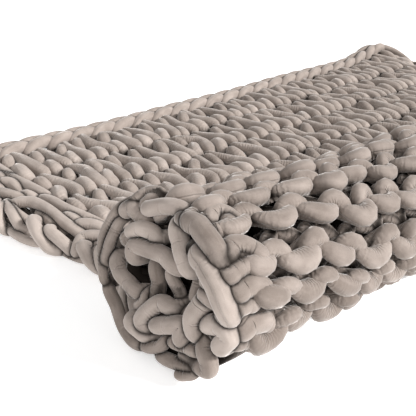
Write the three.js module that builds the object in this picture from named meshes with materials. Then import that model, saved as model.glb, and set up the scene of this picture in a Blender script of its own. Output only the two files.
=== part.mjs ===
// A chunky knitted velvet blanket that lies flat, with its near long side rolled up and over
// onto the flat part. It is one piece: a thick knitted sheet, swept along a section that runs
// flat from the bound-off edge, passes under the roll, climbs its front and winds into its core.
// X runs along the roll, +Y points away from the roll to the bound-off edge, and Z is up.
import * as THREE from 'three';

// Counts and pitches of the knit, in mm.
const wales = 25;
const courses = 21;
const walePitch = 70;
const coursePitch = 75;
const chainWidth = 60;

// Thickness of the knit where it lies flat, where it is rolled, and in the core of the roll.
// It is pressed thinner over a stretch of the flat part that ends just short of the roll's axis.
const flatThick = 60;
const rolledThick = 50;
const coreThick = 44;
const pressFrom = 190;
const pressTo = 40;

// Depth of the hollows between the stitches, on the knit side and on the purl side.
const knitHollow = 14;
const purlHollow = 17;
const chevron = 0.3;

// The rounded edges: how far the rim stands out, and the swell of each stitch along it.
const rimReach = 20;
const rimSwell = 9;
const edgeDrop = 10;

// The roll. Each station across the blanket gives the run from the bound-off edge to the roll's
// axis, and the roll's overall width and height there.
const rollStations = [
  { across: 0, run: 871, wide: 296, high: 262 },
  { across: 160, run: 885, wide: 278, high: 244 },
  { across: 400, run: 907, wide: 268, high: 232 },
  { across: 800, run: 941, wide: 274, high: 240 },
  { across: 1250, run: 966, wide: 270, high: 236 },
  { across: 1750, run: 974, wide: 276, high: 240 },
];
const layerGap = 4;
const turnInStart = THREE.MathUtils.degToRad(240);
const turnInEnd = THREE.MathUtils.degToRad(350);
const mostTurns = 1.75;
const spiralSteps = 220;

// The angle round the roll, in radians, over which the sheet leaves the surface below it.
const liftOff = 0.5;

// The near end of the roll leans: its foot and back stand out past its top and front.
const endLean = 38;
const endLeanBack = 30;
const endLeanFade = 420;
const footLength = 170;

// The near side edge spreads out over the flat part, and is drawn in just behind the roll.
const spreadOut = 16;
const drawIn = 42;
const drawInAt = 620;
const drawInSpread = 130;
const drawInFade = 260;

// The corners of the bound-off edge curl up off the surface, the one at the far end the most.
const cornerCurls = [
  { across: 0, lift: 13, reach: 700 },
  { across: wales * walePitch, lift: 36, reach: 240 },
];

// Long slow waves of the flat top.
const waveRise = 3;
const waveAcross = 520;
const waveAlong = 390;

const width = wales * walePitch;
const length = chainWidth + courses * coursePitch;
const half = 0.5;

const smooth = (value, start, end) => THREE.MathUtils.smoothstep(value, start, end);
const mix = THREE.MathUtils.lerp;

// A column of the station table at a place across the blanket, on a straight line from row to row.
function stationValue(across, column) {
  const place = THREE.MathUtils.clamp(across, 0, width);
  const last = rollStations.length - 1;
  let row = 0;
  while (row < last - 1 && rollStations[row + 1].across < place) row += 1;
  const from = rollStations[row];
  const to = rollStations[row + 1];
  return mix(from[column], to[column], (place - from.across) / (to.across - from.across));
}

// The section at one place across: the flat run, then the middle line of the rolled part as points,
// each with the length travelled from the bound-off edge and the angle turned round the roll.
function section(across) {
  const run = stationValue(across, 'run');
  const radiusY = stationValue(across, 'wide') * half - rolledThick * half;
  const radiusZ = stationValue(across, 'high') * half - rolledThick * half;
  const centreZ = radiusZ + rolledThick * half;
  const points = [];
  let travelled = run;
  for (let step = 0; step <= spiralSteps; step += 1) {
    const angle = mostTurns * 2 * Math.PI * step / spiralSteps;
    const drop = (rolledThick + layerGap) * smooth(angle, turnInStart, turnInEnd);
    const y = -run - (radiusY - drop) * Math.sin(angle);
    const z = centreZ - (radiusZ - drop) * Math.cos(angle);
    if (step > 0) {
      const before = points[step - 1];
      travelled += Math.hypot(y - before.y, z - before.z);
    }
    points.push({ travelled, angle, y, z });
  }
  return { run, points };
}

// A place on the section: the middle line's y and z, the angle turned, and the knit side's normal.
function placeOn(sheet, along) {
  if (along <= sheet.run) {
    const pressed = smooth(along, sheet.run - pressFrom, sheet.run - pressTo);
    const thick = mix(flatThick, rolledThick, pressed);
    return { y: -along, z: thick * half, angle: 0, normalY: 0, normalZ: 1, thick };
  }
  const { points } = sheet;
  let step = 1;
  while (step < points.length - 1 && points[step].travelled < along) step += 1;
  const from = points[step - 1];
  const to = points[step];
  const share = (along - from.travelled) / (to.travelled - from.travelled);
  const angle = mix(from.angle, to.angle, share);
  const stretch = Math.hypot(to.y - from.y, to.z - from.z);
  const thick = mix(rolledThick, coreThick, smooth(angle, turnInStart, turnInEnd));
  return {
    y: mix(from.y, to.y, share),
    z: mix(from.z, to.z, share),
    angle,
    normalY: (to.z - from.z) / stretch,
    normalZ: (from.y - to.y) / stretch,
    thick,
  };
}

// How far a place is moved along X: the edge drawn in behind the roll, and the leaning end.
function sideways(across, along, place) {
  const outward = spreadOut * (1 - smooth(along, drawInAt - 2 * drawInSpread, drawInAt));
  const inward = drawIn * Math.exp(-(((along - drawInAt) / drawInSpread) ** 2)) - outward;
  const nearShare = 1 - smooth(across, 0, drawInFade);
  const rolled = smooth(place.angle, 0, liftOff);
  const lean = endLean * Math.cos(place.angle) - endLeanBack * Math.sin(place.angle);
  const leanShare = 1 - smooth(across, 0, endLeanFade);
  const underRoll = smooth(along, drawInAt, drawInAt + footLength);
  return inward * nearShare - mix(endLean * underRoll, lean, rolled) * leanShare;
}

// The curl of the corners, as a lift of both faces.
function cornerCurl(across, along) {
  const curlOf = ({ across: corner, lift, reach }) =>
    lift * (1 - smooth(Math.hypot(corner - across, along), 0, reach));
  return cornerCurls.reduce((sum, curl) => sum + curlOf(curl), 0);
}

const wave = (across, along) =>
  waveRise * Math.sin(2 * Math.PI * across / waveAcross) * Math.cos(2 * Math.PI * along / waveAlong);

// The hollow of the knit side, under the crest of the stitches: rows of V shapes.
function knitHollowAt(column, row, along, place) {
  const betweenWales = column % 2 === 0;
  const atPoint = row % 2 === 0;
  const flatShare = 1 - smooth(place.angle, 0, liftOff);
  if (along < chainWidth) return 0;
  if (betweenWales) return knitHollow * flatShare;
  return (atPoint ? half * knitHollow : 0) * flatShare;
}

// The hollow of the purl side: arcs that change places from row to row, none where it rests.
function purlHollowAt(column, row, place, outerZ) {
  const crown = (column + row) % 2 === 0;
  const shows = smooth(place.angle, 0, liftOff) * smooth(outerZ, 0, flatThick);
  const hidden = smooth(place.angle, turnInStart, turnInEnd);
  return (crown ? 0 : purlHollow) * shows * (1 - hidden);
}

// Rows of points along the section: the bound-off chain, then two for each course.
function rowPlaces() {
  const rows = [0, chainWidth * half];
  for (let row = 0; row <= 2 * courses; row += 1) rows.push(chainWidth + row * coursePitch * half);
  return rows;
}

// The knit side's rows bend into V shapes between the wales, and run straight at both ends.
function bentRow(column, along) {
  const fromEnds = Math.min(along - chainWidth, length - along) / coursePitch;
  const share = THREE.MathUtils.clamp(fromEnds, 0, 1);
  return column % 2 === 0 ? along - chevron * coursePitch * share : along;
}

// One point of a face of the sheet, with the knit side as +1 and the purl side as -1.
function facePoint(sheet, column, row, rows, side) {
  const across = column * walePitch * half;
  const along = side > 0 ? bentRow(column, rows[row]) : rows[row];
  const place = placeOn(sheet, along);
  const edgeColumn = column === 0 || column === 2 * wales;
  const edgeRow = row === 0 || row === rows.length - 1;
  const outerZ = place.z - place.thick * half * place.normalZ;
  let offset = side * place.thick * half;
  if (side > 0) {
    offset -= knitHollowAt(column, row, along, place);
    offset += wave(across, along) * (1 - smooth(place.angle, 0, liftOff));
    if (edgeColumn || edgeRow) offset -= edgeDrop;
  } else {
    offset += purlHollowAt(column, row, place, outerZ);
  }
  return new THREE.Vector3(
    across + sideways(across, along, place),
    place.y + offset * place.normalY,
    place.z + offset * place.normalZ + cornerCurl(across, along),
  );
}

// A point of the rim round the sheet's edge, pushed out from the middle line.
function rimPoint(sheet, column, row, rows) {
  const across = column * walePitch * half;
  const along = rows[row];
  const place = placeOn(sheet, along);
  const outX = column === 0 ? -1 : column === 2 * wales ? 1 : 0;
  const outAlong = row === 0 ? -1 : row === rows.length - 1 ? 1 : 0;
  const crown = outX !== 0 ? row % 2 === 0 : column % 2 === 1;
  const reach = (rimReach - (crown ? 0 : rimSwell)) / Math.hypot(outX, outAlong);
  const sag = half * edgeDrop;
  return new THREE.Vector3(
    across + sideways(across, along, place) + outX * reach,
    place.y - sag * place.normalY - outAlong * reach * place.normalZ,
    place.z - sag * place.normalZ + outAlong * reach * place.normalY + cornerCurl(across, along),
  );
}

// The closed sheet: two faces on one grid of points, and two strips that meet at the rim.
function knittedSheet() {
  const rows = rowPlaces();
  const columns = 2 * wales + 1;
  const sheets = Array.from({ length: columns }, (_, column) => section(column * walePitch * half));
  const positions = [];
  const index = [];
  const add = (point) => positions.push(point.x, point.y, point.z) / 3 - 1;
  const quad = (a, b, c, d) => index.push(a, b, c, a, c, d);

  const face = (side) => rows.map((_, row) =>
    sheets.map((sheet, column) => add(facePoint(sheet, column, row, rows, side))));
  const knitSide = face(1);
  const purlSide = face(-1);
  for (let row = 0; row < rows.length - 1; row += 1) {
    for (let column = 0; column < columns - 1; column += 1) {
      const corners = (grid) => [
        grid[row][column], grid[row + 1][column], grid[row + 1][column + 1], grid[row][column + 1],
      ];
      quad(...corners(knitSide));
      quad(...corners(purlSide).reverse());
    }
  }

  // The rim is walked once round the edge, in the order in which the walls face outwards.
  const lastRow = rows.length - 1;
  const lastColumn = columns - 1;
  const round = [];
  for (let row = 0; row < lastRow; row += 1) round.push([row, 0]);
  for (let column = 0; column < lastColumn; column += 1) round.push([lastRow, column]);
  for (let row = lastRow; row > 0; row -= 1) round.push([row, lastColumn]);
  for (let column = lastColumn; column > 0; column -= 1) round.push([0, column]);
  const rim = round.map(([row, column]) => add(rimPoint(sheets[column], column, row, rows)));
  round.forEach(([row, column], place) => {
    const next = (place + 1) % round.length;
    const [nextRow, nextColumn] = round[next];
    quad(knitSide[row][column], rim[place], rim[next], knitSide[nextRow][nextColumn]);
    quad(rim[place], purlSide[row][column], purlSide[nextRow][nextColumn], rim[next]);
  });

  const geometry = new THREE.BufferGeometry();
  geometry.setAttribute('position', new THREE.Float32BufferAttribute(positions, 3));
  geometry.setIndex(index);
  geometry.computeVertexNormals();
  return geometry;
}

// The part's origin is at the middle of its box, on the surface that it rests on.
function centredOnFloor(geometry) {
  geometry.computeBoundingBox();
  const { min, max } = geometry.boundingBox;
  geometry.translate(-(min.x + max.x) * half, -(min.y + max.y) * half, -min.z);
  return geometry;
}

const velvet = new THREE.MeshStandardMaterial({ color: 0xa99f97, roughness: 0.9, metalness: 0 });
const blanket = new THREE.Mesh(centredOnFloor(knittedSheet()), velvet);
blanket.name = 'blanket';

const part = new THREE.Group();
part.add(blanket);

export default part;
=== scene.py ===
import math

import bpy
import numpy as np
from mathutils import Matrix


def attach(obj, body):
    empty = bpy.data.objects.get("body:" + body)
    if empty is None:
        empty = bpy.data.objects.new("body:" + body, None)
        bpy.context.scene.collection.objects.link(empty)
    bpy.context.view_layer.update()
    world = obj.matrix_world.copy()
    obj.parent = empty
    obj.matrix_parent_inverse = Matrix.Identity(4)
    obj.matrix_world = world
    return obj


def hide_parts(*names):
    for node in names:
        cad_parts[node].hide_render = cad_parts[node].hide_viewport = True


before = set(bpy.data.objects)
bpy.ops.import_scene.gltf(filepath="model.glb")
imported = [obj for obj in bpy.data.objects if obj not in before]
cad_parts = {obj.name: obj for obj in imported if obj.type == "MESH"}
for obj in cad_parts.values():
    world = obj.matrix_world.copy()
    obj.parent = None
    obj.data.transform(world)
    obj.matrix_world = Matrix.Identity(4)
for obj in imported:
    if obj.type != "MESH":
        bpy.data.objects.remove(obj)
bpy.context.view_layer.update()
print("frame loaded")

perMetre = 1000.0            # shapes are worked out in millimetres
farOff = 1e3                 # further than any neighbour
nudge = 0.01                 # radians to each side of a place, for the slope there


def mix(first, second, share):
    return first + (second - first) * share


def smoothStep(value, start, end):  # 0 before start, 1 after end, 3s^2 - 2s^3 between
    share = np.clip((value - start) / (end - start), 0.0, 1.0)
    return share * share * (3.0 - 2.0 * share)


# The sheet that the stitches lie on, in millimetres as it was knitted: across runs along the roll,
# along runs from the chained edge to the roll and on round it.
sheet = {
    "width": 1750.0,
    "flatThick": 60.0,
    "rolledThick": 50.0,
    "pressFrom": 190.0,      # the flat gets thinner over this much before the roll
    "pressTo": 40.0,
    "turnInDrop": 54.0,      # how far the second turn lies inside the first
    "turnInStart": 240.0,    # degrees
    "turnInEnd": 350.0,
    "mostTurns": 1.75,
    "liftOff": 0.5,          # radians round the roll over which the sheet leaves the floor
    "endLeanFade": 170.0,
    "footLength": 170.0,
    "spreadOut": 16.0,
    "spreadFrom": 360.0,
    "drawIn": 42.0,
    "drawInAt": 620.0,
    "drawInSpread": 130.0,
    "drawInFade": 260.0,
    "waveRise": 1.5,
    "waveAcross": 520.0,
    "waveAlong": 390.0,
    "waveEnd": (-300.0, -100.0),     # the waves die out over this stretch before the roll
    "originX": 850.97,       # from the sheet's corner to the middle of the part
    "originY": 545.15,
}
rollStations = {             # the roll's place and size at some distances across
    "across": [0, 160, 400, 800, 1250, 1750],
    "run": [871, 885, 907, 941, 966, 974],
    "wide": [296, 278, 268, 274, 270, 276],
    "high": [262, 244, 232, 240, 236, 240],
}
endLean = {                  # how far the near end of the roll leans out, by the angle round it
    "angle": [0, 50, 90, 150, 190, 270, 360, 630],
    "out": [38, 22, 4, 0, -8, 34, 20, 10],
}
rollWales = {                # how far the wales are pulled along the roll: wide at its end, then closer
    "across": [0, 70, 140, 210, 280, 350, 420, 490, 1750],
    "shift": [-10, -27, -11, -3, 0, -3, -12, -22, 0],
    "turnedBy": (0.2, 0.9),  # radians round the roll over which this begins
}
flatWales = {                # and on the flat, where they lie closer at the near edge
    "across": [0, 70, 150, 220, 300, 1450, 1750],
    "shift": [0, 40, 34, 30, 22, 20, 0],
    "fade": (450.0, 1000.0),     # along, where this ends
}
rollRows = {                 # how far the courses climb round the near end of the roll, most on its front
    "across": [0, 70, 140, 210, 280, 350, 450, 900],
    "climb": [30, 26, 14, 0, -14, -16, -12, 0],
    "angle": [20, 90, 150, 180, 260],
    "share": [0.3, 1.0, 1.0, 0.4, 0.0],
    "dropAngle": [60, 88, 104, 131, 150, 170],
    "drop": [0, 3, 13, 15, 5, 0],    # and how much lower they lie on its upper front
}
cornerCurls = [
    {"across": 0.0, "lift": 13.0, "reach": 700.0},
    {"across": 1750.0, "lift": 36.0, "reach": 240.0},
]


def station(column, across):
    return np.interp(across, rollStations["across"], rollStations[column])


def rollPoint(across, angle):
    # an ellipse that starts on the floor, rises in front and draws in as its second turn begins
    radiusY = station("wide", across) / 2 - sheet["rolledThick"] / 2
    radiusZ = station("high", across) / 2 - sheet["rolledThick"] / 2
    inside = smoothStep(np.degrees(angle), sheet["turnInStart"], sheet["turnInEnd"])
    drop = sheet["turnInDrop"] * inside
    y = -station("run", across) - (radiusY - drop) * np.sin(angle)
    z = radiusZ + sheet["rolledThick"] / 2 - (radiusZ - drop) * np.cos(angle)
    return y, z


def rollAngles(acrossCount=36, angleCount=900, pastStep=5.0, pastMost=960.0):
    # for each distance across, the angle reached after each length of sheet past the roll's start
    knots = np.linspace(0, sheet["width"], acrossCount)[:, None]
    angles = np.linspace(0, sheet["mostTurns"] * 2 * math.pi, angleCount)[None, :]
    y, z = rollPoint(knots + 0 * angles, angles + 0 * knots)
    length = np.concatenate(
        [np.zeros((acrossCount, 1)), np.cumsum(np.hypot(np.diff(y), np.diff(z)), axis=1)], axis=1)
    past = np.arange(0, pastMost, pastStep)
    return np.array([np.interp(past, row, angles[0]) for row in length]), pastStep


angleTable, anglePastStep = rollAngles()


def rollAngle(across, past):  # read from the table, linear between its rows and columns
    row = np.clip(across / sheet["width"], 0, 1) * (angleTable.shape[0] - 1)
    column = np.clip(past / anglePastStep, 0, angleTable.shape[1] - 1.001)   # just short of the last one
    row0 = np.minimum(row.astype(int), angleTable.shape[0] - 2)
    column0 = column.astype(int)
    rowShare, columnShare = row - row0, column - column0
    near = mix(angleTable[row0, column0], angleTable[row0, column0 + 1], columnShare)
    far = mix(angleTable[row0 + 1, column0], angleTable[row0 + 1, column0 + 1], columnShare)
    return mix(near, far, rowShare)


def sideways(across, along, angle):
    # the near edge spreads at the far corner, draws in before the roll and leans with the roll's end
    s = sheet
    outward = s["spreadOut"] * (1 - smoothStep(along, s["spreadFrom"], s["drawInAt"]))
    inward = s["drawIn"] * np.exp(-((along - s["drawInAt"]) / s["drawInSpread"]) ** 2) - outward
    nearShare = 1 - smoothStep(across, 0, s["drawInFade"])
    rolled = smoothStep(angle, 0, s["liftOff"])
    lean = np.interp(np.degrees(angle), endLean["angle"], endLean["out"])
    leanShare = 1 - smoothStep(across, 0, s["endLeanFade"])
    underRoll = endLean["out"][0] * smoothStep(along, s["drawInAt"], s["drawInAt"] + s["footLength"])
    flatShift = np.interp(across, flatWales["across"], flatWales["shift"])
    rollShift = np.interp(across, rollWales["across"], rollWales["shift"])
    shift = flatShift * (1 - smoothStep(along, *flatWales["fade"]))
    shift = shift + rollShift * smoothStep(angle, *rollWales["turnedBy"])
    return inward * nearShare - mix(underRoll, lean, rolled) * leanShare + shift


def sheetAt(across, along):
    # the middle of the sheet, flat and then round the roll's ellipse, raised by waves and corner curls, and
    # its normal on the plain side, which is up on the flat and inwards in the roll
    s = sheet
    inside = np.clip(across, 0, s["width"])
    run = station("run", inside)
    past = along - run
    angle = rollAngle(inside, np.maximum(past, 0))
    climb = np.interp(inside, rollRows["across"], rollRows["climb"])
    degrees = np.degrees(angle)
    climb = climb * np.interp(degrees, rollRows["angle"], rollRows["share"])
    climb = climb - np.interp(degrees, rollRows["dropAngle"], rollRows["drop"])
    past = past + climb * (past > 0)
    angle = rollAngle(inside, np.maximum(past, 0))
    y0, z0 = rollPoint(inside, angle - nudge)
    y1, z1 = rollPoint(inside, angle + nudge)
    rollY, rollZ = rollPoint(inside, angle)
    slope = np.hypot(y1 - y0, z1 - z0)
    onRoll = past > 0
    thick = mix(s["flatThick"], s["rolledThick"], smoothStep(past, -s["pressFrom"], -s["pressTo"]))
    wave = s["waveRise"] * np.sin(2 * np.pi * across / s["waveAcross"])
    wave = wave * np.cos(2 * np.pi * along / s["waveAlong"]) * (1 - smoothStep(past, *s["waveEnd"]))
    curl = sum(c["lift"] * (1 - smoothStep(np.hypot(c["across"] - across, along), 0, c["reach"]))
               for c in cornerCurls)
    x = across + sideways(inside, along, np.where(onRoll, angle, 0)) - s["originX"]
    y = np.where(onRoll, rollY, -along) + s["originY"]
    z = np.where(onRoll, rollZ, thick / 2 + wave) + curl
    normalY = np.where(onRoll, (z1 - z0) / slope, 0.0)
    normalZ = np.where(onRoll, -(y1 - y0) / slope, 1.0)
    return np.stack([x, y, z], -1), np.stack([0 * x, normalY, normalZ], -1)


# One stitch: the tube swings from the back of the cloth to its front and over again.
stitch = {
    "wales": 25,
    "pitch": 70.0,           # from wale to wale
    "flatPitch": 75.0,       # from course to course on the flat
    "rollPitch": 50.0,       # closer in the roll
    "firstCourse": 80.0,     # from the chained edge
    "rollFrom": 12.4,        # the course where the pitch changes
    "rolledOver": (-60.0, 120.0),    # past the roll's start, where the flat stitch becomes the rolled one
    "steps": 30,             # rings in a stitch
    "sides": 14,
    "fineSteps": 60,         # for the distances between strands
    "nearby": 2,             # courses and stitches on each side that may press on a strand
    "leastFacing": 0.01,     # how far in front a strand lies that does
    "ownShare": 0.30,        # nearer than this share of a stitch a strand doesn't press on itself
    "gap": 0.4,
    "least": 5.0,            # a pressed tube keeps this much
    "softness": 1.2,
}
flatLoop = {
    "radius": 15.5,          # of the tube where nothing presses on it
    "favour": 14.0,          # the front strand keeps more of its width where two press together
    "pitch": 75.0,
    "legSwell": 0.10,        # the short leg is this much fuller
    "legAt": (0.05, 0.18, 0.28, 0.42),       # shares of a stitch where that starts, is full and ends
    "strandSwell": (-0.18, 0.12),            # the long strand, in even and in odd courses
    "strandAt": ((0.60, 0.78, 0.90, 1.0), (0.45, 0.60, 0.70, 0.82)),
    "joined": ((0.48, 0.76), (0.70, 1.0)),   # shares of an even and an odd stitch that make a long strand
    "points": (              # across, along and depth of one stitch, in even and in odd courses
        [(-4, -48, -14), (7, -43, -10), (14, -32, -1), (15, -18, 8), (13, -4, 11), (10, 10, 10), (9, 22, 6),
         (11, 36, -3), (17, 48, -11), (24, 57, -14), (32, 64, -10), (40, 62, 1), (43, 50, 12), (42, 36, 14),
         (40, 18, 14), (37, -2, 14), (34, -20, 13), (33, -36, 7), (40, -48, -5), (52, -52, -13)],
        [(-4, -48, -14), (7, -41, -10), (15, -26, 1), (16, -8, 11), (13, 10, 15), (9, 27, 16), (7, 41, 13),
         (11, 53, 4), (19, 61, -7), (29, 63, -13), (40, 61, -8), (47, 53, 3), (49, 40, 12), (48, 24, 15),
         (46, 6, 15), (44, -12, 15), (42, -28, 14), (41, -40, 12), (44, -52, 1), (54, -56, -11)],
    ),
}
rollLoop = {
    "radius": 18.5,
    "full": 14.0,            # a strand thinner than this counts as pressed
    "favour": -9.0,          # here the back is outside
    "pitch": 56.0,           # as wide as the courses lie on the outside of the roll
    "joined": ((0.0, 0.0), (0.0, 0.0)),
    "points": (
        [(0, -44, -19), (13, -42, -18), (25, -34, -15), (33, -23, -9), (31, -11, -1), (20, 0, 2), (9, 9, 2),
         (4, 18, -1), (11, 30, -9), (22, 39, -14), (35, 42, -16), (48, 39, -14), (59, 30, -9), (66, 18, -1),
         (61, 9, 2), (50, 0, 2), (39, -11, -1), (37, -23, -9), (45, -34, -15), (57, -42, -18)],
    ) * 2,
    "leg": 0.92,             # its width at the legs and at the middle of a barrel
    "barrel": 1.07,
}


def alongOf(course):  # the distance along of a course, with the closer pitch eased in at the roll
    s = stitch
    past = course - s["rollFrom"]
    eased = 0.5 * (past + np.sqrt(past * past + 1.0))
    return s["firstCourse"] + s["flatPitch"] * course - (s["flatPitch"] - s["rollPitch"]) * eased


def curveBetween(p0, p1, p2, p3, share):  # from p1 to p2, with slopes from their neighbours
    return 0.5 * (2 * p1 + (p2 - p0) * share + (2 * p0 - 5 * p1 + 4 * p2 - p3) * share ** 2
                  + (3 * p1 - p0 - 3 * p2 + p3) * share ** 3)


def stitchPath(turn, odd, form):
    # a soft curve through the points of one stitch, which the next stitch repeats a pitch further across:
    # the turn is 0 at the sinker between two wales and about pi at the loop's head
    points = np.array(form["points"][odd], float)
    where = turn / (2 * np.pi) * len(points)
    first = np.floor(where).astype(int)
    share = (where - first)[:, None]

    def spot(index):
        place = points[index % len(points)].copy()
        place[:, 0] += stitch["pitch"] * (index // len(points))
        return place

    u, along, offset = curveBetween(*(spot(first + k) for k in (-1, 0, 1, 2)), share).T
    return u, along / form["pitch"], offset


def unit(vectors):
    return vectors / np.maximum(np.linalg.norm(vectors, axis=-1, keepdims=True), 1e-9)


def acrossFrame(tangent, normal):  # the normal made square to the path, and the direction beside it
    upward = unit(normal - tangent * (tangent * normal).sum(-1, keepdims=True))
    return upward, np.cross(tangent, upward)


def inShare(turns, limits):
    share = turns / (2 * np.pi) % 1
    return (share >= limits[0]) & (share < limits[1])


def pressedSection(odd, form):
    # in each direction the tube reaches its own radius or part of the way to a neighbouring strand, which is
    # half way for two strands at one depth and more for the one that lies nearer the outside: the softened
    # smaller of the two, then averaged with its neighbours round and along the tube
    s = stitch
    fine, nearby = s["fineSteps"], s["nearby"]
    turns = np.arange(s["steps"]) / s["steps"] * 2 * np.pi

    def place(turn, parity):
        u, course, offset = stitchPath(turn, parity, form)
        return np.stack([u, course * form["pitch"], offset], -1)

    centre = place(turns, odd)
    tangent = unit(place(turns + nudge, odd) - place(turns - nudge, odd))
    upward, beside = acrossFrame(tangent, np.array([0.0, 0.0, 1.0]) + 0 * tangent)
    angles = np.arange(s["sides"]) / s["sides"] * 2 * np.pi
    outward = (np.cos(angles)[None, :, None] * upward[:, None]
               + np.sin(angles)[None, :, None] * beside[:, None])
    reach = np.full((s["steps"], s["sides"]), farOff)
    fineTurns = np.arange(-nearby * fine, (nearby + 1) * fine) / fine * 2 * np.pi
    for row in range(-nearby, nearby + 1):
        strand = place(fineTurns, (odd + row) % 2) + np.array([0.0, row * form["pitch"], 0.0])
        toStrand = strand - centre[:, None]
        square = (toStrand ** 2).sum(-1)
        facing = np.einsum("ijk,ink->ijn", outward, toStrand)
        nearer = form["favour"] * (centre[:, None, 2] - strand[None, :, 2])
        if row == (-1 if odd else 1):
            one = inShare(turns, form["joined"][odd])[:, None] & inShare(fineTurns, form["joined"][1 - odd])
            facing = np.where(one[:, None, :], 0.0, facing)
        half = (square + nearer)[:, None, :] / (2 * np.maximum(facing, s["leastFacing"]))
        half = np.where(facing > s["leastFacing"], half, farOff)
        if row == 0:
            own = np.abs(fineTurns[None, :] - turns[:, None]) < s["ownShare"] * 2 * np.pi
            half = np.where(own[:, None, :], farOff, half)
        reach = np.minimum(reach, half.min(-1) - s["gap"])
    soft = s["softness"]
    pressed = np.exp(-np.maximum(reach, s["least"]) / soft)
    pressed = -soft * np.log(pressed + np.exp(-form["radius"] / soft))
    pressed = (2 * pressed + np.roll(pressed, 1, 1) + np.roll(pressed, -1, 1)) / 4
    return (2 * pressed + np.roll(pressed, 1, 0) + np.roll(pressed, -1, 0)) / 4


flatSections = [pressedSection(odd, flatLoop) for odd in (0, 1)]
rollSections = [pressedSection(odd, rollLoop) for odd in (0, 1)]
print("tube section from", round(float(flatSections[0].min()), 1), "mm")


def softCurve(points, count):  # a smooth curve through the points, with slopes from their neighbours
    points = np.asarray(points, float)
    padded = np.concatenate([2 * points[:1] - points[1:2], points, 2 * points[-1:] - points[-2:-1]])
    where = np.linspace(0, len(points) - 1, count)
    first = np.minimum(where.astype(int), len(points) - 2)
    share = (where - first)[:, None]
    return curveBetween(*(padded[first + k] for k in range(4)), share)


pleats = {
    "spacing": 7.5,          # from fold to fold on the inside of a bend
    "depth": 0.10,           # of the tube's radius, in the loose loops
    "wander": 2.0,           # of the spacing, in radians, over a length
    "wanderLength": 31.0,
    "pressed": 0.30,         # how strong the folds are where tubes press together
    "hollow": 0.35,          # full where the painted shade is this deep
    "squeezed": (0.8, 1.45),     # and in the knit where a tube's width falls below these shares
}
unevenness = {               # millimetres, courses and shares by which the stitches wander
    "seed": 11,
    "waves": 9,
    "shortest": 105.0,
    "longest": 290.0,
    "most": {"across": 5.0, "course": 0.06, "depth": 2.6, "radius": 0.06},
    "bulge": 0.035,
}
edge = {
    "nearShare": 1.03,       # on the flat a course starts at its second wale, behind the edge's own loops
    "flatShare": 0.45,       # and ends at this share of a stitch
    "rollShare": 0.75,       # or inside the roll, but near its edge on the back
    "backShare": 0.5,
    "backFrom": 190.0,       # degrees round the roll
    "backTo": 335.0,
    "inset": 28.0,           # of the strand that climbs from course to course
    "rollInset": 55.0,
    "flatOffset": -13.0,
    "rollOffset": 11.0,
    "turnIn": 6.0,
    "climb": (0.45, 0.75, 1.15, 1.4),        # courses
    "climbRadius": 13.95,
    "climbPhase": 0.6,       # it takes its tone from this share of a stitch
    "steps": 16,
    "drop": 13.0,            # the edge wale rolls down by this much
    "dropReach": (-20.0, 55.0),
}


def inRoll(course, across):
    return alongOf(course) > station("run", across)


def onBack(course, across):
    past = np.array([alongOf(course) - station("run", across)])
    angle = np.degrees(rollAngle(np.array([across]), past))[0]
    return edge["backFrom"] < angle < edge["backTo"]


def endShare(course, across, flat):  # how much of a stitch is left out at the end of a course
    if not inRoll(course, across):
        return edge[flat]
    return edge["backShare" if onBack(course, across) else "rollShare"]


def wanderWaves(rng):
    # for each value some waves across the sheet, of many lengths and directions
    u = unevenness
    waves = {}
    for name in u["most"]:
        length = u["shortest"] * (u["longest"] / u["shortest"]) ** rng.random(u["waves"])
        turn = rng.random(u["waves"]) * np.pi
        waves[name] = np.stack([np.cos(turn), np.sin(turn)], -1) * (2 * np.pi / length)[:, None]
        waves[name] = np.concatenate([waves[name], rng.random((u["waves"], 1)) * 2 * np.pi], 1)
    return waves


def wander(name, across, along, waves):  # the sum of the waves, the same for all strands that meet at a place
    wave = waves[name]
    total = np.sin(across[:, None] * wave[:, 0] + along[:, None] * wave[:, 1] + wave[:, 2]).sum(-1)
    return unevenness["most"][name] * total * math.sqrt(2 / len(wave))


def between(value, start, full, past, end):  # rises from start to full and falls from past to end
    return smoothStep(value, start, full) * (1 - smoothStep(value, past, end))


def strandWidth(turns, odd):
    # on the flat the short legs are fuller, and a long strand is full at its end near the roll and thin
    # at the other: 1 + swell x a soft step up and down
    f = flatLoop
    share = turns / (2 * np.pi) % 1
    width = 1 + f["legSwell"] * between(share, *f["legAt"])
    return width + f["strandSwell"][odd] * between(share, *f["strandAt"][odd])


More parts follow.
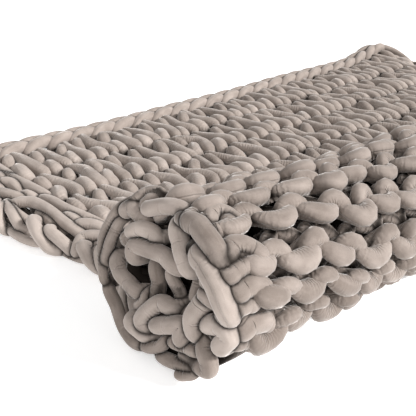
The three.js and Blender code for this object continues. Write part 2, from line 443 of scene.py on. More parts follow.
def coursePath(course, rng, waves):
    # one course from the near edge to the far one, each stitch a little unlike the next: the flat stitch and
    # the rolled one mixed by how far past the roll's start they lie, plus the wandering
    s = stitch
    odd = course % 2
    turns = np.arange(s["wales"] * s["steps"] + 1) / s["steps"] * 2 * np.pi
    first = int(endShare(course, 0.0, "nearShare") * s["steps"])
    last = int(endShare(course, sheet["width"], "flatShare") * s["steps"])
    keep = slice(first, len(turns) - last)
    past = alongOf(course) - station("run", turns / (2 * np.pi) * s["pitch"])
    rolled = smoothStep(past, *s["rolledOver"])
    flatPath = stitchPath(turns, odd, flatLoop)
    rollPath = stitchPath(turns, odd, rollLoop)
    u, swing, offset = (mix(flat, onRoll, rolled) for flat, onRoll in zip(flatPath, rollPath))
    drift = {name: wander(name, u, alongOf(course + swing), waves) for name in waves}
    knots = np.arange(2 * s["wales"] + 1) * np.pi
    bulge = np.interp(turns, knots, rng.normal(0, unevenness["bulge"], len(knots)))
    ring = np.arange(len(turns)) % s["steps"]
    barrel = mix(rollLoop["leg"], rollLoop["barrel"], np.cos(turns) ** 2)
    flatSection = flatSections[odd][ring] * strandWidth(turns, odd)[:, None]
    section = mix(flatSection, rollSections[odd][ring] * barrel[:, None], rolled[:, None])
    path = {
        "u": u + drift["across"],
        "course": course + swing + drift["course"],
        "offset": offset + drift["depth"],
        "section": section * (1 + drift["radius"] + bulge)[:, None],
        "rolled": rolled,
        "phase": turns / (2 * np.pi) % 1,
        "odd": np.full(len(turns), float(odd)),
    }
    return {name: values[keep] for name, values in path.items()}


def knitYarn(firstCourse, lastCourse, rng, waves):
    # courses worked to and fro, joined at the edges by a strand that climbs to the next course
    s = stitch
    rows = []
    for course in range(firstCourse, lastCourse + 1):
        path = coursePath(course, rng, waves)
        backwards = course % 2 == 0
        if backwards:
            mirror = (-np.arange(s["sides"])) % s["sides"]
            path = {name: values[::-1] for name, values in path.items()}
            path["section"] = path["section"][:, mirror]
        rows.append(path)
        if course < lastCourse:
            side = 1 if not backwards else -1
            end = sheet["width"] if side > 0 else 0.0
            rolled = inRoll(course, end)
            inset = edge["rollInset" if rolled and not onBack(course, end) else "inset"]
            edgeU = sheet["width"] - inset if side > 0 else inset
            inside = edge["rollOffset" if rolled else "flatOffset"]
            leave, rise, reach, arrive = (course + share for share in edge["climb"])
            turnedIn = edgeU - side * edge["turnIn"]
            climbRoute = [
                (path["u"][-1], path["course"][-1], path["offset"][-1]),
                (turnedIn, leave, inside),
                (edgeU, rise, inside),
                (edgeU, reach, inside),
                (turnedIn, arrive, inside),
                (path["u"][-1], 1 + path["course"][-1], path["offset"][-1]),
            ]
            curve = softCurve(climbRoute, edge["steps"])[1:-1]
            count = len(curve)
            rows.append({
                "u": curve[:, 0],
                "course": curve[:, 1],
                "offset": curve[:, 2],
                "section": np.full((count, s["sides"]), edge["climbRadius"]),
                "rolled": np.full(count, float(rolled)),
                "phase": np.full(count, edge["climbPhase"]),
                "odd": np.zeros(count),
            })
    return {name: np.concatenate([row[name] for row in rows]) for name in rows[0]}


def placeYarn(yarn):
    # the yarn's path laid on the sheet, with the edges rolled down
    point, normal = sheetAt(yarn["u"], alongOf(yarn["course"]))
    inward = np.minimum(yarn["u"], sheet["width"] - yarn["u"])
    drop = edge["drop"] * (1 - smoothStep(inward, *edge["dropReach"]))
    return point + normal * (yarn["offset"] - drop)[:, None], normal


def carriedNormals(tangent):
    # each normal is the one before it made square to the next tangent, so the tube doesn't twist
    normals = np.empty_like(tangent)
    carried = np.eye(3)[np.argmin(np.abs(tangent[0]))]
    for index, direction in enumerate(tangent):
        carried = unit(carried - direction * (carried @ direction))
        normals[index] = carried
    return normals


tubeEnd = np.radians([80.0, 55.0, 28.0])   # the rings of a rounded end
seamSide = (1.0, 0.0, 0.0)   # where a tube's own seam lies, unless its row says otherwise
floorRest = {                # tubes flatten on the floor
    "rise": 0.4,
    "softness": 3.0,
    "lowest": -40.0,
    "free": 12.0,            # above this nothing changes
}
paintedShadeSettings = {                  # painted shade: where the pile is painted dark as shade, in creases, between tubes and behind them
    "pressed": (0.42, 0.78),         # shares of a tube's full width: dark below, clear above
    "facing": (-0.2, 0.5),           # at the roll's ends only sides that face out are covered
    "flatStart": -4.0,               # millimetres from the sheet's middle
    "rollStart": -16.0,
    "range": 14.0,
    "contact": (-3.0, 7.5),          # clear distance to another tube
    "cover": (4.0, 30.0),            # how far another tube stands in front
    "coverReach": 27.0,
}


def paintedShadeOf(tube, points, ring, section):
    # painted shade: 1 in the middle of the sheet, where a tube is pressed thin and where it meets the other
    # tubes, 0 in the
    # open: the largest of soft steps of its width, its depth, its distance to others and their cover, all
    # painted as shade
    h = paintedShadeSettings
    hollow = 1 - smoothStep(section / tube["full"], *h["pressed"])
    facing = smoothStep(ring @ tube["outward"], *h["facing"]) if "outward" in tube else 1.0
    hollow = np.maximum(hollow, tube.get("shade", 0.0) * facing)
    if "offset" in tube:
        depth = tube["offset"][:, None] + section * (ring * tube["normal"][:, None]).sum(-1)
        height = mix(np.abs(depth), -depth, tube["rolled"][:, None])
        start = mix(h["flatStart"], h["rollStart"], tube["rolled"])[:, None]
        hollow = np.maximum(hollow, 1 - smoothStep(height - start, 0.0, h["range"]))
    if "others" in tube:
        others = tube["others"]
        spots = points.reshape(-1, 3)
        square = (spots ** 2).sum(-1)[:, None] + (others ** 2).sum(-1) - 2 * spots @ others.T
        clear = (np.sqrt(np.maximum(square, 0)) - tube["othersRadius"]).min(-1)
        hollow = np.maximum(hollow, 1 - smoothStep(clear.reshape(section.shape), *h["contact"]))
        if "outward" in tube:
            ahead = (others @ tube["outward"])[None, :] - (spots @ tube["outward"])[:, None]
            beside = square - ahead ** 2
            cover = np.where(beside < h["coverReach"] ** 2, ahead, -farOff).max(-1)
            hollow = np.maximum(hollow, smoothStep(cover.reshape(section.shape), *h["cover"]) * facing)
    return hollow


def pressedPleats(tube, hollow, section):  # folds run out of the places where tubes press together
    pressed = smoothStep(hollow, 0.0, pleats["hollow"])
    if "offset" in tube:
        pressed = np.maximum(pressed, 1 - smoothStep(section / tube["full"], *pleats["squeezed"]))
    return pleats["pressed"] * pressed


def withOthers(tubes):
    # each tube of a group is told where the others run
    for tube in tubes:
        others = [other for other in tubes if other is not tube]
        tube["others"] = np.concatenate([other["centre"] for other in others])
        tube["othersRadius"] = np.concatenate([other["section"].mean(1) for other in others])
    return tubes


def tubeRings(tube):
    # a section carried along the path, pleated on the inside of bends, with a half round of rings at each end
    centre, section = tube["centre"], tube["section"]
    sides = section.shape[1]
    step = np.gradient(centre, axis=0)
    tangent = unit(step)
    normal = tube["normal"] if "normal" in tube else carriedNormals(tangent)
    upward, beside = acrossFrame(tangent, normal)
    angles = np.arange(sides) / sides * 2 * np.pi
    ring = np.cos(angles)[None, :, None] * upward[:, None] + np.sin(angles)[None, :, None] * beside[:, None]
    length = np.concatenate([[0], np.cumsum(np.linalg.norm(np.diff(centre, axis=0), axis=1))])
    bend = np.gradient(tangent, axis=0) / np.linalg.norm(step, axis=1)[:, None]
    pleat = np.clip((ring * bend[:, None]).sum(-1) * section, 0, 1)
    wandering = pleats["wander"] * np.sin(length / pleats["wanderLength"])
    ripple = np.sin(2 * np.pi * length / pleats["spacing"] + wandering)
    section = section * (1 - tube.get("pleats", 0.0) * pleat * (0.5 + 0.5 * ripple)[:, None])
    points = centre[:, None] + ring * section[:, :, None]
    middle = len(centre) // 2
    seamColumn = int(np.argmax(ring[middle] @ np.asarray(tube.get("seam", seamSide))))
    column = np.abs(np.arange(sides) - seamColumn)
    seam = np.minimum(column, sides - column) * (2 * np.pi / sides) * section.mean(1)[:, None]

    def roundEnd(end, outward):
        size = section[end].mean()
        shrunk = centre[end] + (points[end] - centre[end])[None] * np.cos(tubeEnd)[:, None, None]
        return shrunk + (outward * size)[None, None] * np.sin(tubeEnd)[:, None, None]

    rings = np.concatenate([roundEnd(0, -tangent[0]), points, roundEnd(-1, tangent[-1])[::-1]])
    rest, soft = floorRest["rise"], floorRest["softness"]
    high = np.maximum(rings[..., 2], floorRest["lowest"])
    flattened = rest + soft * np.log1p(np.exp((high - rest) / soft))
    rings[..., 2] = np.where(high > floorRest["free"], high, flattened)
    pad = ((len(tubeEnd), len(tubeEnd)), (0, 0))
    # painted shade for creases, for places between tubes and for places behind them
    hollow = paintedShadeOf(tube, points, ring, section)
    values = {
        "nap": np.broadcast_to(np.reshape(tube["nap"], (-1, 1)), section.shape),
        "hollow": hollow,
        "pleat": np.clip(pleat + pressedPleats(tube, hollow, section), 0, 1),
        "seam": seam / perMetre,
    }
    return {
        "points": rings / perMetre,
        "length": np.pad(length, pad[0], mode="edge") / perMetre,
        "values": {name: np.pad(grid, pad, mode="edge") for name, grid in values.items()},
    }


def addObject(name, data):
    added = bpy.data.objects.new(name, data)
    bpy.context.collection.objects.link(added)
    return added


def tubeMesh(name, tubes, material):
    # quads between neighbouring rings and a face on the last ring of each end, all tubes in one mesh
    corners, totals, alongUv, roundUv, points = [], [], [], [], []
    values = {}
    base = 0
    for tube in tubes:
        rings = tubeRings(tube)
        count, sides = rings["points"].shape[:2]
        length = rings["length"]
        i, k = np.meshgrid(np.arange(count - 1), np.arange(sides), indexing="ij")
        following = (k + 1) % sides
        quads = np.stack([i * sides + k, i * sides + following, (i + 1) * sides + following,
                          (i + 1) * sides + k], -1)
        ends = np.stack([np.arange(sides)[::-1], (count - 1) * sides + np.arange(sides)])
        corners += [base + quads.ravel(), base + ends.ravel()]
        totals += [np.full((count - 1) * sides, 4), np.full(2, sides)]
        alongUv += [np.stack([length[i], length[i], length[i + 1], length[i + 1]], -1).ravel(),
                    np.repeat(length[[0, -1]], sides)]
        roundUv += [np.stack([k, k + 1, k + 1, k], -1).ravel() / sides, ends.ravel() % sides / sides]
        points.append(rings["points"].reshape(-1, 3))
        for title, grid in rings["values"].items():
            values.setdefault(title, []).append(grid.ravel())
        base += count * sides
    totals = np.concatenate(totals)
    mesh = bpy.data.meshes.new(name)
    mesh.vertices.add(base)
    mesh.vertices.foreach_set("co", np.concatenate(points).astype(np.float32).ravel())
    mesh.loops.add(int(totals.sum()))
    mesh.loops.foreach_set("vertex_index", np.concatenate(corners).astype(np.int32))
    mesh.polygons.add(len(totals))
    starts = np.concatenate([[0], np.cumsum(totals)[:-1]])
    mesh.polygons.foreach_set("loop_start", starts.astype(np.int32))
    mesh.polygons.foreach_set("loop_total", totals.astype(np.int32))
    mesh.polygons.foreach_set("use_smooth", np.ones(len(totals), dtype=bool))
    uvLayer = mesh.uv_layers.new(name="yarn")
    uv = np.stack([np.concatenate(alongUv), np.concatenate(roundUv)], -1)
    uvLayer.data.foreach_set("uv", uv.astype(np.float32).ravel())
    for title, grids in values.items():
        layer = mesh.attributes.new(title, "FLOAT", "POINT")
        layer.data.foreach_set("value", np.concatenate(grids).astype(np.float32))
    mesh.update()
    mesh.validate()
    mesh.materials.append(material)
    return addObject(name, mesh)


class Value:
    # a socket with arithmetic: an expression on values adds its Math nodes
    tree = None

    def __init__(self, socket):
        self.socket = socket

    @classmethod
    def node(cls, kind, settings=None, **sockets):
        added = cls.tree.nodes.new(kind)
        for name, setting in (settings or {}).items():
            setattr(added, name, setting)
        for name, given in sockets.items():   # socket names are given without their spaces
            cls.feed(next(s for s in added.inputs if s.name.replace(" ", "") == name and s.enabled), given)
        return added

    @classmethod
    def feed(cls, socket, given):  # a link from a value, or a plain setting
        if isinstance(given, Value):
            cls.tree.links.new(given.socket, socket)
        else:
            socket.default_value = given

    @classmethod
    def math(cls, operation, *terms):
        added = cls.node("ShaderNodeMath", {"operation": operation})
        for socket, term in zip(added.inputs, terms):
            cls.feed(socket, term)
        return cls(added.outputs[0])

    @classmethod
    def attribute(cls, name):  # one of the values that tubeMesh puts on the points
        return cls(cls.node("ShaderNodeAttribute", {"attribute_name": name}).outputs["Fac"])

    @classmethod
    def noise(cls, place, scale, detail):
        return cls(cls.node("ShaderNodeTexNoise", Vector=place, Scale=scale, Detail=detail).outputs[0])

    @classmethod
    def colour(cls, share, first, second):  # from the first colour to the second
        added = cls.node("ShaderNodeMix", {"data_type": "RGBA"}, Factor=share)
        ends = [socket for socket in added.inputs if socket.enabled and socket.type == "RGBA"]
        cls.feed(ends[0], first)
        cls.feed(ends[1], second)
        return cls(next(s for s in added.outputs if s.enabled))

    def __add__(self, other):
        return Value.math("ADD", self, other)

    __radd__ = __add__

    def __mul__(self, other):
        return Value.math("MULTIPLY", self, other)

    __rmul__ = __mul__

    def __sub__(self, other):
        return Value.math("SUBTRACT", self, other)

    def __rsub__(self, other):
        return Value.math("SUBTRACT", other, self)

    def __truediv__(self, other):
        return Value.math("DIVIDE", self, other)

    def clamped(self):
        return Value.math("MAXIMUM", Value.math("MINIMUM", self, 1.0), 0.0)


velvetLook = {
    "light": (0.40, 0.340, 0.303, 1.0),
    "dark": (0.17, 0.138, 0.118, 1.0),
    # the colour of the painted shade
    "hollow": (0.012, 0.0095, 0.008, 1.0),
    "hollowShare": 0.92,
    "deepest": 0.375,                # past this much painted shade the sheen is lost too
    "roughness": 0.82,
    "specular": 0.2,
    "sheen": 0.45,
    "sheenRoughness": 0.4,
    "sheenTint": (0.93, 0.89, 0.86, 1.0),
    "strokes": (30.0, 3.0),          # scale and detail of the patches where a hand passed over the pile
    "streaks": (1.0, 2.0),
    "drawnOut": (22.0, 7.0, 1.0),    # the streaks run along the tube
    "grain": (700.0, 2.0),
    "wandering": (90.0, 1.0),
    "tone": {"middle": 0.5, "nap": 0.28, "strokes": 0.9, "streaks": 0.7, "grain": 0.3},
    "pleatTurns": 2 * math.pi * perMetre / pleats["spacing"],
    "pleatWander": 9.0,
    "seamWidth": 0.0022,
    "rise": {"grain": 0.25, "pleats": 1.6, "seam": 1.2, "streaks": 1.6},
    "bump": 0.8,
    "bumpDepth": 0.0012,
}


def velvetMaterial():
    # taupe pile: lighter and darker by painted light and the strands' own tone, mottled where it was stroked,
    # with painted shade where pressed and between tubes, and no sheen in the deepest painted shade. The tone
    # is a weighted sum of painted light and tone, strokes, streaks and grain, and so is the bump, of grain,
    # folds, seam and streaks.
    look = velvetLook
    material = bpy.data.materials.new("velvet")
    material.use_nodes = True
    tree = material.node_tree
    tree.nodes.clear()
    Value.tree = tree
    place = Value(Value.node("ShaderNodeTexCoord").outputs["Object"])
    nap, hollow, pleat, seam = (Value.attribute(name) for name in ("nap", "hollow", "pleat", "seam"))
    uv = Value(Value.node("ShaderNodeUVMap", {"uv_map": "yarn"}).outputs[0])
    length = Value(Value.node("ShaderNodeSeparateXYZ", Vector=uv).outputs[0])
    drawn = Value.node("ShaderNodeVectorMath", {"operation": "MULTIPLY"})
    Value.feed(drawn.inputs[0], uv)
    Value.feed(drawn.inputs[1], look["drawnOut"])
    strokes = Value.noise(place, *look["strokes"])
    streaks = Value.noise(Value(drawn.outputs[0]), *look["streaks"])
    grain = Value.noise(place, *look["grain"])
    wandering = Value.noise(place, *look["wandering"])

    weight = look["tone"]    # each noise runs round 0.5
    # the tone takes in the painted light and shade of each strand
    tone = weight["middle"] + nap * weight["nap"] + (strokes - 0.5) * weight["strokes"]
    tone = tone + (streaks - 0.5) * weight["streaks"] + (grain - 0.5) * weight["grain"]
    pileAndLight = Value.colour(tone.clamped(), look["dark"], look["light"])
    # painted shade: the pile darkened towards the painted shade colour
    base = Value.colour(hollow * look["hollowShare"], pileAndLight, look["hollow"])

    rise = look["rise"]
    folds = Value.math("SINE", length * look["pleatTurns"] + wandering * look["pleatWander"]) * pleat
    stitching = (1.0 - seam / look["seamWidth"]).clamped()
    height = grain * rise["grain"] + folds * rise["pleats"]
    height = height - stitching * rise["seam"] + streaks * rise["streaks"]
    bump = Value.node("ShaderNodeBump", Strength=look["bump"], Distance=look["bumpDepth"], Height=height)
    shader = Value.node("ShaderNodeBsdfPrincipled", BaseColor=base, Normal=Value(bump.outputs[0]),
                        Roughness=look["roughness"], SpecularIORLevel=look["specular"],
                        SheenWeight=look["sheen"], SheenRoughness=look["sheenRoughness"],
                        SheenTint=look["sheenTint"])
    deepest = Value.node("ShaderNodeBsdfPrincipled", BaseColor=look["hollow"], Roughness=1.0,
                         SpecularIORLevel=0.0)
    depth = ((hollow - look["deepest"]) / (1 - look["deepest"])).clamped()
    both = Value.node("ShaderNodeMixShader", Fac=depth)   # no sheen in the deepest painted shade
    tree.links.new(shader.outputs[0], both.inputs[1])
    tree.links.new(deepest.outputs[0], both.inputs[2])
    output = Value.node("ShaderNodeOutputMaterial")
    tree.links.new(both.outputs[0], output.inputs[0])
    return material


velvet = velvetMaterial()
print("velvet made")

knitLightAndTones = {                # painted light and shade by the angle round the roll: darkest low down, lighter towards its top and back
    "angle": [0, 60, 95, 115, 150, 170, 200, 260],
    "tone": [-1.8, -1.7, -1.2, -0.85, -0.9, -0.8, -0.6, -0.4],
    "strand": -0.28,         # of the long strands on the flat
    "odd": 0.55,             # and of the short legs in odd and even courses
    "even": -0.60,
    "nearEdge": 0.6,         # painted light: lighter towards the near edge
    "nearReach": 420.0,
    "leg": (0.02, 0.10, 0.36, 0.46),     # shares of a stitch where a short leg starts, is full and ends
    "uneven": 0.45,
    "patches": ((47.0, 1.7), (113.0, -0.9)),     # millimetres across, and turns from course to course
}


def knitToneAndLight(yarn):
    # painted light and tone: on the flat by leg and strand and with painted light at the near edge, on the
    # roll painted light and shade by the angle round it, plus patches that are the product of two waves
    tones = knitLightAndTones
    past = alongOf(yarn["course"]) - station("run", yarn["u"])
    angle = np.degrees(rollAngle(np.clip(yarn["u"], 0, sheet["width"]), np.maximum(past, 0)))
    leg = between(yarn["phase"], *tones["leg"])
    flat = mix(tones["strand"], mix(tones["even"], tones["odd"], yarn["odd"]), leg)
    flat = flat + tones["nearEdge"] * (1 - smoothStep(yarn["u"], 0, tones["nearReach"]))
    first, second = (yarn["u"] / wide + turn * yarn["course"] for wide, turn in tones["patches"])
    patch = np.sin(first) * np.cos(second)
    rolled = np.interp(angle, tones["angle"], tones["tone"])
    return mix(flat, rolled, yarn["rolled"]) + tones["uneven"] * patch


knitPieces = [
    {"name": "knit_far", "courses": (0, 7)},
    {"name": "knit_middle", "courses": (8, 15)},
    {"name": "knit_roll", "courses": (16, 23)},
]
rng = np.random.default_rng(unevenness["seed"])
waves = wanderWaves(rng)
made = []
for row in knitPieces:
    yarn = knitYarn(*row["courses"], rng, waves)
    centre, normal = placeYarn(yarn)
    tube = {"centre": centre, "normal": normal, "section": yarn["section"],
            "full": mix(flatLoop["radius"], rollLoop["full"], yarn["rolled"])[:, None],
            "offset": yarn["offset"], "rolled": yarn["rolled"], "nap": knitToneAndLight(yarn)}
    made.append(tubeMesh(row["name"], [tube], velvet))
    print(row["name"], "with", len(centre), "rings")

chain = {                    # the chained edge, two rows of slanting links like a plait
    "pitch": 70.0,
    "first": 59.5,           # across, of the middle of the first link
    "links": 24,
    "stretch": 26.0,         # a link is this much longer on each side than half its pitch
    "slim": 0.21,            # its width swings by this share to each side, thin underneath
    "nap": -0.15,
    "napSwing": 0.2,
    "steps": 36,
    "sides": 16,
    "rows": [
        {"along": 28.0, "swing": -11.0, "rise": 8.0, "lift": 13.0, "radius": 16.5},
        {"along": 3.0, "swing": 10.0, "rise": 9.0, "lift": 10.0, "radius": 15.0},
    ],
}


def chainTubes():
    # across pitch t / 2 pi + stretch sin t, along swing sin t, height lift cos t: a flat screw of links
    c = chain
    lastTurn = 2 * np.pi * (c["links"] - 1) + np.pi / 2
    turns = np.linspace(-np.pi / 2, lastTurn, c["links"] * c["steps"])
    across = c["first"] + c["pitch"] * turns / (2 * np.pi) + c["stretch"] * np.sin(turns)
    width = 1 - c["slim"] + c["slim"] * np.cos(turns)
    # painted light: each link lighter over its top than underneath
    nap = c["nap"] + c["napSwing"] * np.cos(turns)
    tubes = []
    for row in c["rows"]:
        point, normal = sheetAt(across, row["along"] + row["swing"] * np.sin(turns))
        centre = point + normal * (row["rise"] + row["lift"] * np.cos(turns))[:, None]
        section = row["radius"] * width[:, None] * np.ones(c["sides"])
        tubes.append({"centre": centre, "section": section, "full": row["radius"], "nap": nap})
    return withOthers(tubes)


made.append(tubeMesh("edge_chain", chainTubes(), velvet))
print("edge chain made")

looseLoop = {
    "steps": 96,
    "sides": 18,
    "tuck": 45.0,            # how far the ends go back into the roll
    "tuckOn": 0.25,          # and how far they go on, as a share of the last span
    "blunt": 0.05,           # the share of the tuck by which a blunt end stands out
    "slim": 0.94,
    "ends": 0.95,            # the width at a loop's ends, and how much fuller it is between them
    "swell": 0.07,
    "contrast": 1.8,         # of the painted light and shade at the roll's ends
}


def loop(radius, nap, *route, **more):  # a loose loop, by the points that it runs through
    return {"radius": radius, "nap": nap, "route": np.array(route, float), **more}


def partPoint(across, along, up):  # from distances on the sheet as knitted to the part's own frame
    return np.stack([across - sheet["originX"], sheet["originY"] - along, up], -1)


def looseTube(points, row, steps=looseLoop["steps"], sides=looseLoop["sides"]):
    # a tube on a soft curve: its radius times the width at the ends plus a swell by a half sine between them
    full = looseLoop["ends"] + looseLoop["swell"] * np.sin(np.pi * np.linspace(0, 1, steps))
    return {
        "centre": softCurve(points, steps),
        "section": row["radius"] * looseLoop["slim"] * full[:, None] * np.ones(sides),
        "full": row["radius"],
        "nap": row["nap"],
        "pleats": pleats["depth"],
        "seam": row.get("seam", seamSide),
        "shade": row.get("shade", 0.0),
    }


# Loops over the near side, between the corner and the roll: radius, tone with painted light and shade, and
# points across, along and up.
# They come again further along, and on the far side turned over.
sideLoops = {
    "first oval": loop(12.5, 0.9, (25, 262, 30), (2, 275, 46), (-5, 315, 46), (-10, 345, 36),
        (-8, 362, 24), (15, 380, 14)),
    "under the first": loop(10, 0.5, (0, 270, 15), (-18, 295, 16), (-24, 350, 16), (-20, 390, 15),
        (-10, 422, 16), (10, 440, 18)),
    "second oval": loop(15.5, 1.2, (28, 378, 30), (6, 388, 48), (-5, 420, 44), (-5, 440, 32),
        (0, 460, 18), (14, 474, 13), (35, 485, 13)),
    "third oval": loop(14, 1.1, (35, 425, 30), (12, 440, 44), (13, 470, 40), (20, 492, 28), (27, 508, 16),
        (45, 520, 14)),
    "under the third": loop(8, -0.5, (8, 450, 10), (15, 470, 9), (20, 505, 9), (27, 535, 10),
        (40, 550, 12)),
    "fourth oval": loop(14, 0.5, (45, 530, 32), (25, 545, 46), (20, 565, 38), (22, 582, 26),
        (32, 597, 15), (50, 608, 14)),
    "fifth oval": loop(12.5, 0.8, (60, 575, 36), (40, 585, 50), (30, 597, 40), (26, 612, 26),
        (28, 628, 14), (45, 645, 13)),
    "upper strand": loop(13, 0.1, (5, 190, 44), (20, 215, 49), (30, 245, 50), (42, 268, 46),
        (58, 290, 34)),
    "second strand": loop(13, 0.4, (50, 85, 32), (63, 118, 46), (75, 155, 51), (80, 205, 51),
        (84, 255, 51), (88, 290, 49), (93, 315, 42), (98, 335, 30)),
    "upper oval": loop(12.5, 0.7, (50, 245, 32), (56, 258, 46), (60, 275, 50), (66, 292, 44),
        (72, 305, 30)),
    "long strand": loop(13.5, 0.6, (0, 262, 34), (15, 285, 46), (30, 300, 52), (45, 325, 55),
        (50, 365, 54), (50, 405, 52), (50, 445, 48), (55, 475, 42), (62, 500, 30)),
    "third strand": loop(13, 0.5, (65, 290, 30), (75, 305, 46), (80, 340, 52), (80, 375, 53),
        (85, 425, 53), (95, 465, 50), (105, 495, 44), (112, 515, 30)),
    "block": loop(14, 0.7, (60, 455, 36), (70, 470, 49), (85, 490, 50), (95, 510, 46), (105, 530, 34)),
    "beside the hole": loop(12.5, -0.1, (60, 325, 26), (45, 345, 36), (40, 380, 41), (38, 410, 40),
        (40, 435, 32), (50, 455, 20)),
    "lower oval": loop(13, 0.9, (62, 398, 30), (66, 415, 46), (70, 435, 50), (74, 455, 46),
        (78, 475, 30)),
    "bridge": loop(14, 0.6, (25, 520, 24), (36, 515, 36), (50, 510, 42), (65, 525, 46), (75, 542, 44),
        (85, 565, 34)),
    "last strand": loop(13, 0.4, (62, 545, 34), (62, 575, 42), (60, 615, 42), (60, 660, 30)),
}
sideRepeat = {
    "shifts": (-300.0, 0.0, 300.0),
    "first": 4.0,            # along, at the chained edge
    "from": 30.0,
    "to": 850.0,
    "copyFrom": 620.0,       # the copies towards the roll start here
    "steps": 40,
    "sides": 14,
    "lighter": 0.5,
    "lining": 52.0,          # a strand along the inside, from the edge, all painted dark as shade
    "liningRadius": 15.0,
    "liningNap": -1.0,
    "liningSteps": 120,
}


def sideEdgeAt(along):  # how far the near edge lies from its straight line
    return sideways(0 * along, along, 0 * along)


def sideTubes(far):
    # each loop keeps its distance from the edge at every shift along it, the far side is the width less the
    # near one, and a strand painted all in shade runs along the side
    r = sideRepeat
    tubes = []
    for row in sideLoops.values():
        across, along, up = row["route"].T
        inside = across - sideEdgeAt(along)
        for shift in r["shifts"]:
            moved = np.maximum(along + shift, r["first"])
            middle = moved.mean()
            if not r["from"] <= middle <= r["to"] or (shift > 0 and middle < r["copyFrom"]):
                continue
            placed = sheet["width"] - inside if far else inside + sideEdgeAt(moved)
            tube = looseTube(partPoint(placed, moved, up), row, r["steps"], r["sides"])
            # painted light: every side loop made lighter
            tube["nap"] += r["lighter"]
            tubes.append(tube)
    # painted shade: a dark strand along the inside of the side loops
    along = np.linspace(r["from"], r["to"], r["liningSteps"])
    across = sheet["width"] - r["lining"] + 0 * along if far else r["lining"] + sideEdgeAt(along)
    tubes.append({
        "centre": partPoint(across, along, r["liningRadius"] + 0 * along),
        "section": np.full((len(along), r["sides"]), r["liningRadius"]),
        "full": r["liningRadius"],
        "nap": r["liningNap"],
        "shade": 1.0,
    })
    return withOthers(tubes)


made.append(tubeMesh("side_near", sideTubes(False), velvet))
made.append(tubeMesh("side_far", sideTubes(True), velvet))
print("sides made")
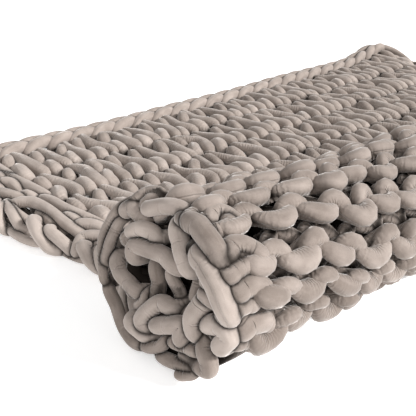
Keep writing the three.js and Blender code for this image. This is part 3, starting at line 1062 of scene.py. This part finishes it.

# Loose loops at the near end of the roll: radius, tone with painted light and shade, and points out from the
# sheet's edge, to the front of the roll's middle, and up. That tone is above 0 where a loop is painted lit,
# below 0 where it is painted in shade.
endLoops = {
    "top arch": loop(9, -0.5, (0, -120, 215), (-10, -115, 230), (-25, -105, 240), (-30, -85, 245),
        (-35, -65, 240)),
    "top shoulder": loop(15, 0.0, (0, -130, 205), (0, -115, 215), (-5, -100, 205), (-10, -90, 195)),
    "big loop": loop(14, 0.2, (-5, -80, 225), (-10, -45, 240), (-15, -15, 245), (-25, 15, 235)),
    "front shoulder": loop(18, -0.6, (-10, 15, 240), (-2, 42, 242), (3, 66, 235), (5, 86, 224),
        (0, 98, 208)),
    "outermost": loop(9, -0.5, (5, -140, 210), (20, -155, 180), (35, -155, 155), (45, -145, 120),
        (50, -130, 90)),
    "back strand": loop(10, -0.5, (5, -135, 190), (20, -140, 170), (35, -140, 145), (40, -140, 120)),
    "inner back": loop(12, -0.6, (5, -130, 160), (15, -135, 140), (25, -130, 125)),
    "upper oval": loop(14, 0.7, (10, -105, 180), (10, -80, 195), (5, -60, 195), (-5, -50, 185)),
    "under the big loop": loop(13, -0.5, (-20, -85, 200), (-20, -65, 190), (-20, -45, 175)),
    "middle loop": loop(15, 0.0, (20, -85, 145), (20, -85, 165), (15, -55, 170), (10, -25, 170),
        (5, 5, 160)),
    "upright loop": loop(16, 0.5, (-5, -5, 225), (5, 10, 205), (10, 25, 185), (5, 35, 170)),
    "seamed loop": loop(18, 0.2, (12, 60, 211), (20, 82, 202), (24, 106, 186), (25, 124, 163),
        (18, 128, 143), (4, 106, 128), seam=(-0.93, -0.13, 0.35)),
    "core back": loop(14, -0.6, (0, -55, 140), (10, -40, 115), (15, -35, 85)),
    "core middle": loop(11, -0.2, (0, -20, 140), (5, 5, 115), (10, 20, 85)),
    "core front": loop(9, -0.2, (-20, 30, 170), (-10, 30, 140), (0, 35, 115)),
    "wrinkled loop": loop(15, -0.2, (25, -125, 130), (35, -110, 115), (35, -90, 105), (30, -65, 95)),
    "round end": loop(16, 0.6, (0, -80, 95), (30, -78, 92), blunt=True),
    "small strand": loop(7, 0.0, (25, -50, 100), (35, -50, 90), (35, -65, 70)),
    "low loop": loop(15, 0.2, (20, 15, 100), (30, -10, 100), (40, -25, 85), (50, -35, 65), (40, -25, 50)),
    "pleated loop": loop(15, 0.0, (40, -10, 65), (40, 20, 80), (35, 45, 90), (35, 45, 65)),
    "fat loop": loop(17, 0.4, (5, 75, 145), (20, 70, 130), (30, 65, 110), (25, 70, 85)),
    "low light loop": loop(13, 0.8, (50, -65, 50), (55, -40, 45), (45, -20, 40)),
    "low outer": loop(12, -0.7, (45, -130, 85), (50, -105, 55), (55, -75, 25), (55, -35, 20)),
    "under the roll": loop(11, -0.6, (50, -30, 20), (50, 5, 35), (35, 15, 50)),
    "lower strand": loop(10, -0.5, (35, 20, 50), (35, 55, 55), (30, 80, 60)),
    "lowest strand": loop(12, -0.8, (45, 5, 20), (45, 45, 25), (36, 76, 36), (18, 66, 56)),
    "front upright": loop(15, -0.5, (15, 75, 90), (30, 90, 70), (34, 103, 55), (34, 98, 40),
        outside=True),
    "front round loop": loop(17, 0.7, (15, 80, 105), (20, 115, 120), (20, 130, 110), (20, 115, 85)),
    "small end": loop(9, -0.4, (50, 55, 15), (50, 70, 20), (40, 80, 28), (20, 66, 48)),
    "arch over the row": loop(13, -0.2, (-22, 37, 241), (-36, 31, 246), (-50, 31, 246), (-60, 42, 241),
        (-62, 54, 234), outside=True),
    "bowl below it": loop(14, -0.4, (-6, 50, 238), (-16, 58, 235), (-32, 60, 234), (-50, 55, 236),
        outside=True),
    "first of the upper row": loop(20.5, -0.5, (0, 92, 211), (-20, 88, 217), (-34, 91, 216),
        (-47, 99, 208), (-55, 107, 200), outside=True),
    "below it": loop(16, -0.45, (8, 110, 196), (-2, 113, 199), (-14, 112, 200), (-26, 108, 200),
        outside=True),
    "first of the middle row": loop(19, -0.45, (4, 122, 172), (-8, 125, 176), (-25, 127, 174),
        (-38, 128, 167), (-46, 125, 159), outside=True),
    "below that": loop(17, -0.45, (12, 124, 152), (2, 129, 153), (-10, 130, 153), (-22, 128, 150),
        outside=True),
    "first of the lower row": loop(19, -0.45, (2, 131, 113), (-12, 134, 118), (-32, 134, 113),
        (-46, 130, 105), (-54, 124, 97), outside=True),
    "lowest at the front": loop(16, -0.45, (10, 126, 96), (-5, 129, 91), (-20, 128, 86), (-32, 124, 84),
        outside=True),
    # painted shade: dark fillers inside the roll, all in the painted shade colour, standing for the shade
    # there
    "inner turn": loop(32, -1.0, (-45, -85, 145), (-45, -40, 180), (-45, 40, 182), (-45, 82, 148),
        shade=1.0),
    "inner turn below": loop(32, -1.0, (-45, -85, 112), (-45, -40, 78), (-45, 40, 78), (-45, 82, 110),
        shade=1.0),
    "under the core": loop(22, -1.0, (-20, -70, 34), (12, -25, 22), (18, 20, 20), (5, 58, 26),
        (-20, 80, 40), shade=1.0),
    "core": loop(30, -1.0, (-45, -40, 130), (-45, 0, 130), (-45, 40, 130), shade=1.0),
}


def endTubes(end, side):
    # the loops of one end, in proportion to the roll there, with their ends tucked into the roll
    roll = {name: values[end] for name, values in rollStations.items()}
    wide = roll["wide"] / rollStations["wide"][0]
    high = roll["high"] / rollStations["high"][0]
    tuck, tuckOn = looseLoop["tuck"], looseLoop["tuckOn"]
    tubes = []
    for row in endLoops.values():
        outside = "outside" in row
        inward = np.array([0.0, tuck, 0.0] if outside else [-side * tuck, 0.0, 0.0])
        out, front, up = row["route"].T
        points = partPoint(roll["across"] + side * out, roll["run"] + front * wide, up * high)
        before = points[0] + (points[0] - points[1]) * tuckOn + inward
        after = points[-1] + (points[-1] - points[-2]) * tuckOn + inward
        if "blunt" in row:
            after = points[-1] - inward * looseLoop["blunt"]
        tube = looseTube(np.concatenate([[before], points, [after]]), row)
        # painted light and shade made stronger at the roll's ends
        tube["nap"] *= looseLoop["contrast"]
        if not outside:
            tube["outward"] = np.array([side, 0.0, 0.0])
        tubes.append(tube)
    return withOthers(tubes)


made.append(tubeMesh("roll_end_near", endTubes(0, -1), velvet))
made.append(tubeMesh("roll_end_far", endTubes(-1, 1), velvet))
print("roll ends made with", len(endLoops), "loops each")

cornerLoops = {              # across, along and up, at the far right corner
    "corner loop": loop(18, 0.3, (1655, 60, 40), (1680, 35, 45), (1690, 35, 75), (1718, 40, 84),
        (1742, 45, 60), (1745, 50, 30)),
    "corner edge": loop(12, -0.2, (1700, 35, 60), (1722, 42, 84), (1745, 75, 76), (1752, 110, 62),
        (1748, 150, 45), (1742, 180, 25)),
}


def cornerTubes():  # soft curves through the points, as the other loops
    return [looseTube(partPoint(*row["route"].T), row) for row in cornerLoops.values()]


made.append(tubeMesh("far_corner", cornerTubes(), velvet))
print("far corner made")

for piece in made:
    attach(piece, "root")
    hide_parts("blanket")

studio = {
    "floorSize": 60.0,
    "floor": {               # a light table, so shadows stay pale
        "Base Color": (0.93, 0.93, 0.93, 1.0),
        "Roughness": 0.9,
        "Emission Color": (1.0, 1.0, 1.0, 1.0),
        "Emission Strength": 0.42,
    },
    "sky": {"Color": (1.0, 1.0, 1.0, 1.0), "Strength": 0.45},
    "sensor": 36.0,
    "lens": 58.39,
    "cameraAt": (-1.4081, -1.0056, 0.690),
    "cameraTurn": (90 - 26.27, 0.0, -42.11),
}
lamps = [                    # soft suns: the way the light comes from, and how wide its source is
    {"name": "key", "comesFrom": (0.6, -1.0, 0.72), "strength": 5.1, "spread": 12},
    {"name": "side", "comesFrom": (-1.0, -0.5, 0.7), "strength": 1.25, "spread": 60},
]


def setInputs(node, settings):
    for name, setting in settings.items():
        node.inputs[name].default_value = setting


def makeStudio():
    # a wide square floor, an even sky, suns that point back along the way they come from, and the camera
    mesh = bpy.data.meshes.new("floor")
    half = studio["floorSize"] / 2
    mesh.from_pydata([(-half, -half, 0), (half, -half, 0), (half, half, 0), (-half, half, 0)], [],
                     [(0, 1, 2, 3)])
    floor = addObject("floor", mesh)
    paper = bpy.data.materials.new("floor")
    paper.use_nodes = True
    setInputs(paper.node_tree.nodes["Principled BSDF"], studio["floor"])
    mesh.materials.append(paper)
    world = bpy.data.worlds.new("studio")
    world.use_nodes = True
    setInputs(world.node_tree.nodes["Background"], studio["sky"])
    bpy.context.scene.world = world
    for row in lamps:
        lamp = bpy.data.lights.new(row["name"], "SUN")
        lamp.energy = row["strength"]
        lamp.angle = math.radians(row["spread"])
        holder = addObject(row["name"], lamp)
        away = row["comesFrom"]
        holder.location = away
        flatLength = math.hypot(away[0], away[1])
        holder.rotation_euler = (math.atan2(flatLength, away[2]), 0, math.atan2(away[0], -away[1]))
    camera = bpy.data.cameras.new("camera")
    camera.lens = studio["lens"]
    camera.sensor_width = studio["sensor"]
    holder = addObject("camera", camera)
    holder.location = studio["cameraAt"]
    holder.rotation_euler = [math.radians(turn) for turn in studio["cameraTurn"]]
    bpy.context.scene.camera = holder
    bpy.context.scene.view_settings.view_transform = "Standard"


makeStudio()
print("studio made")
